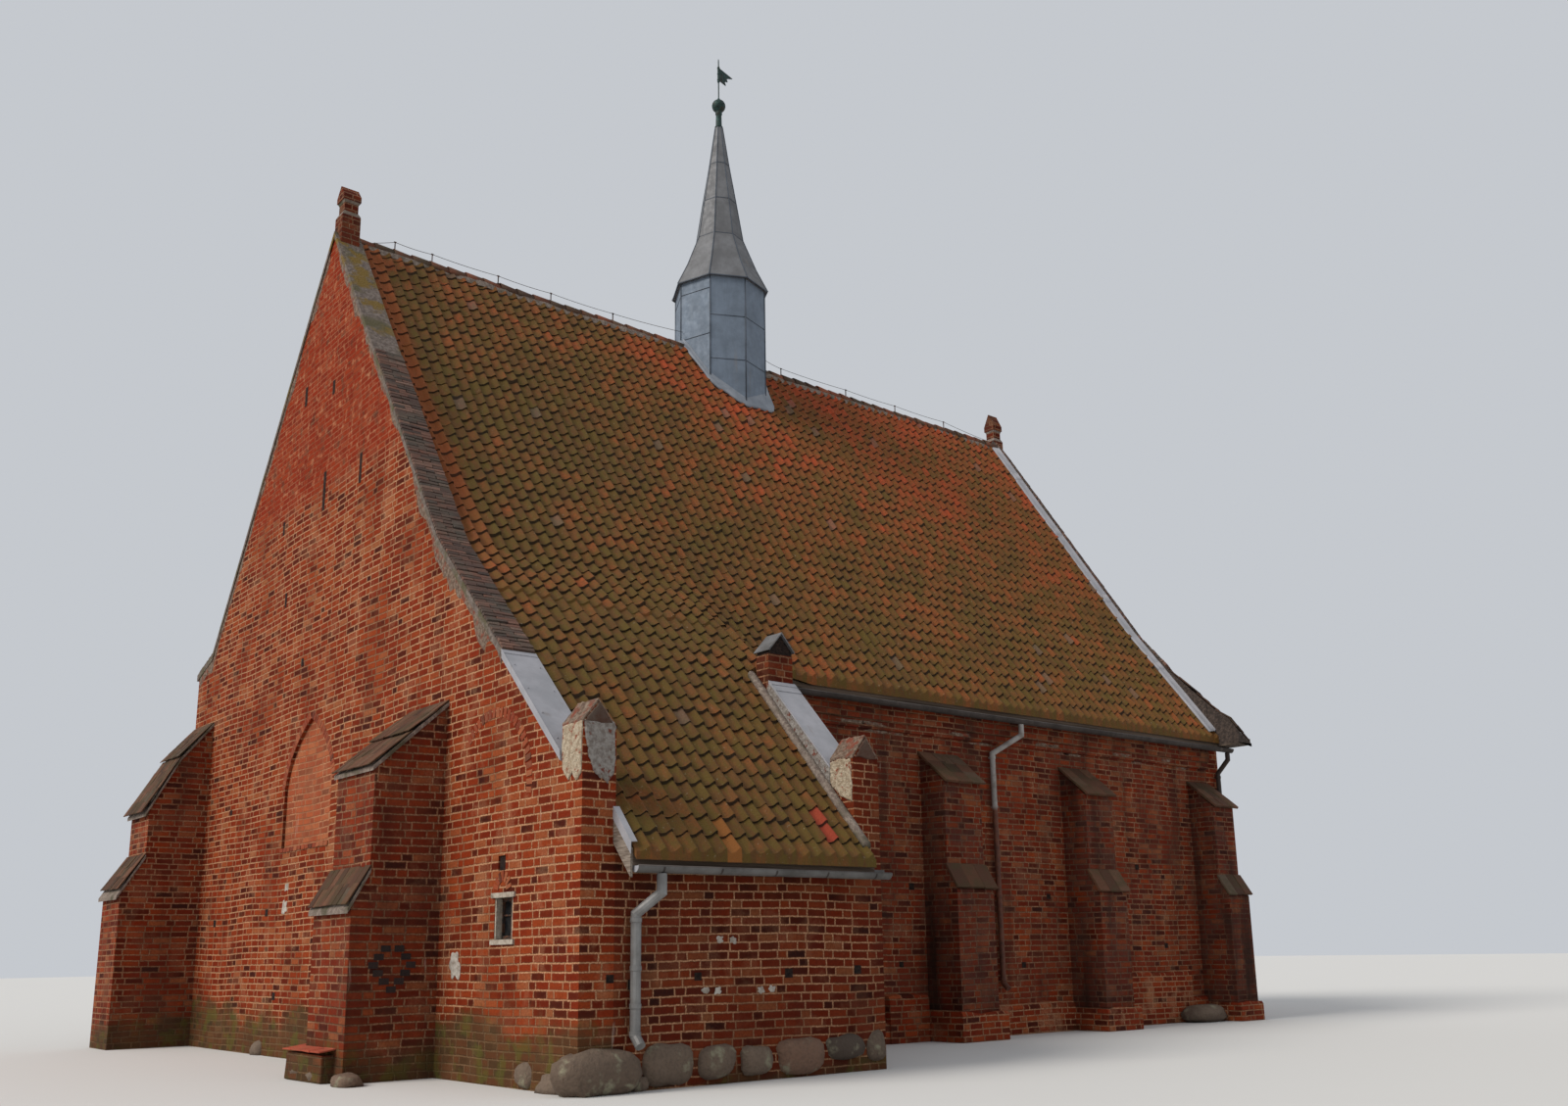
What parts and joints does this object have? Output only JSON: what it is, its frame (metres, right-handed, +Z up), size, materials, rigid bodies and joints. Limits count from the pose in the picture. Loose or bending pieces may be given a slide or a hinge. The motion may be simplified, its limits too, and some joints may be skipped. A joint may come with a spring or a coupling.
{
  "type": "brick village church with sacristy",
  "caption": "Small brick village church: steep tiled nave roof between parapet gables, sacristy under the roof's long tail, stepped buttresses and a ridge turret with a turning vane.",
  "frame": {"origin": "middle of the footprint's box, on the ground", "axes": "+X along the ridge, from the gable beside the sacristy to the other gable; +Y from the sacristy side to the far side; +Z up"},
  "size_m": [19.5304, 15.705, 21.6],
  "materials": {
    "brick": "old red brick in wide lime joints",
    "roof_tile": "weathered red pantiles with moss",
    "dark_tile": "dark brick and tile bedded in grey mortar",
    "zinc": "dull weathered zinc sheet",
    "dark_zinc": "dark weathered zinc",
    "stone": "rough grey stone",
    "timber": "weathered grey-brown boards",
    "copper": "dark green-black patina",
    "pipe_paint": "dull brown paint"
  },
  "bodies": {
    "building": {"east_gable_wall": "brick", "west_gable_wall": "brick", "nave_north_wall": "brick", "nave_south_wall": "brick", "sacristy_north_wall": "brick", "sacristy_west_wall": "brick", "slit_sill": "stone", "slit_lintel": "stone", "west_door": "timber", "nave_roof_north": "roof_tile", "nave_roof_south": "roof_tile", "sacristy_roof": "roof_tile", "ridge_tiles_east": "roof_tile", "ridge_tiles_west": "roof_tile", "east_coping_north": "dark_tile", "east_coping_south": "dark_tile", "east_zinc_coping": "zinc", "sacristy_zinc_coping": "zinc", "west_coping_north": "dark_tile", "west_coping_south": "dark_tile", "east_apex_post": "brick", "west_apex_post": "brick", "parapet_stub_cap": "zinc", "east_buttress_north": "brick", "east_buttress_north_upper_cap": "dark_tile", "east_buttress_north_lower_cap": "dark_tile", "east_buttress_south": "brick", "east_buttress_south_upper_cap": "dark_tile", "east_buttress_south_lower_cap": "dark_tile", "north_buttress_1": "brick", "north_buttress_2": "brick", "north_buttress_3": "brick", "south_buttress_1": "brick", "south_buttress_2": "brick", "south_buttress_3": "brick", "north_cornice": "brick", "south_cornice": "brick", "north_gutter": "dark_zinc", "south_gutter": "dark_zinc", "sacristy_gutter": "zinc", "north_downpipe": "pipe_paint", "north_corner_downpipe": "pipe_paint", "south_downpipe": "pipe_paint", "sacristy_downpipe": "zinc", "verge_board": "timber", "turret_drum": "zinc", "turret_spire": "zinc", "turret_finial": "copper"},
    "vane": {"weather_vane": "copper"}
  },
  "joints": [
    {"name": "vane_turn", "type": "hinge", "parent": "building", "child": "vane", "pos_m": [0.43515, 1.5225, 21.04], "axis": [0, 0, 1], "continuous": true}
  ]
}
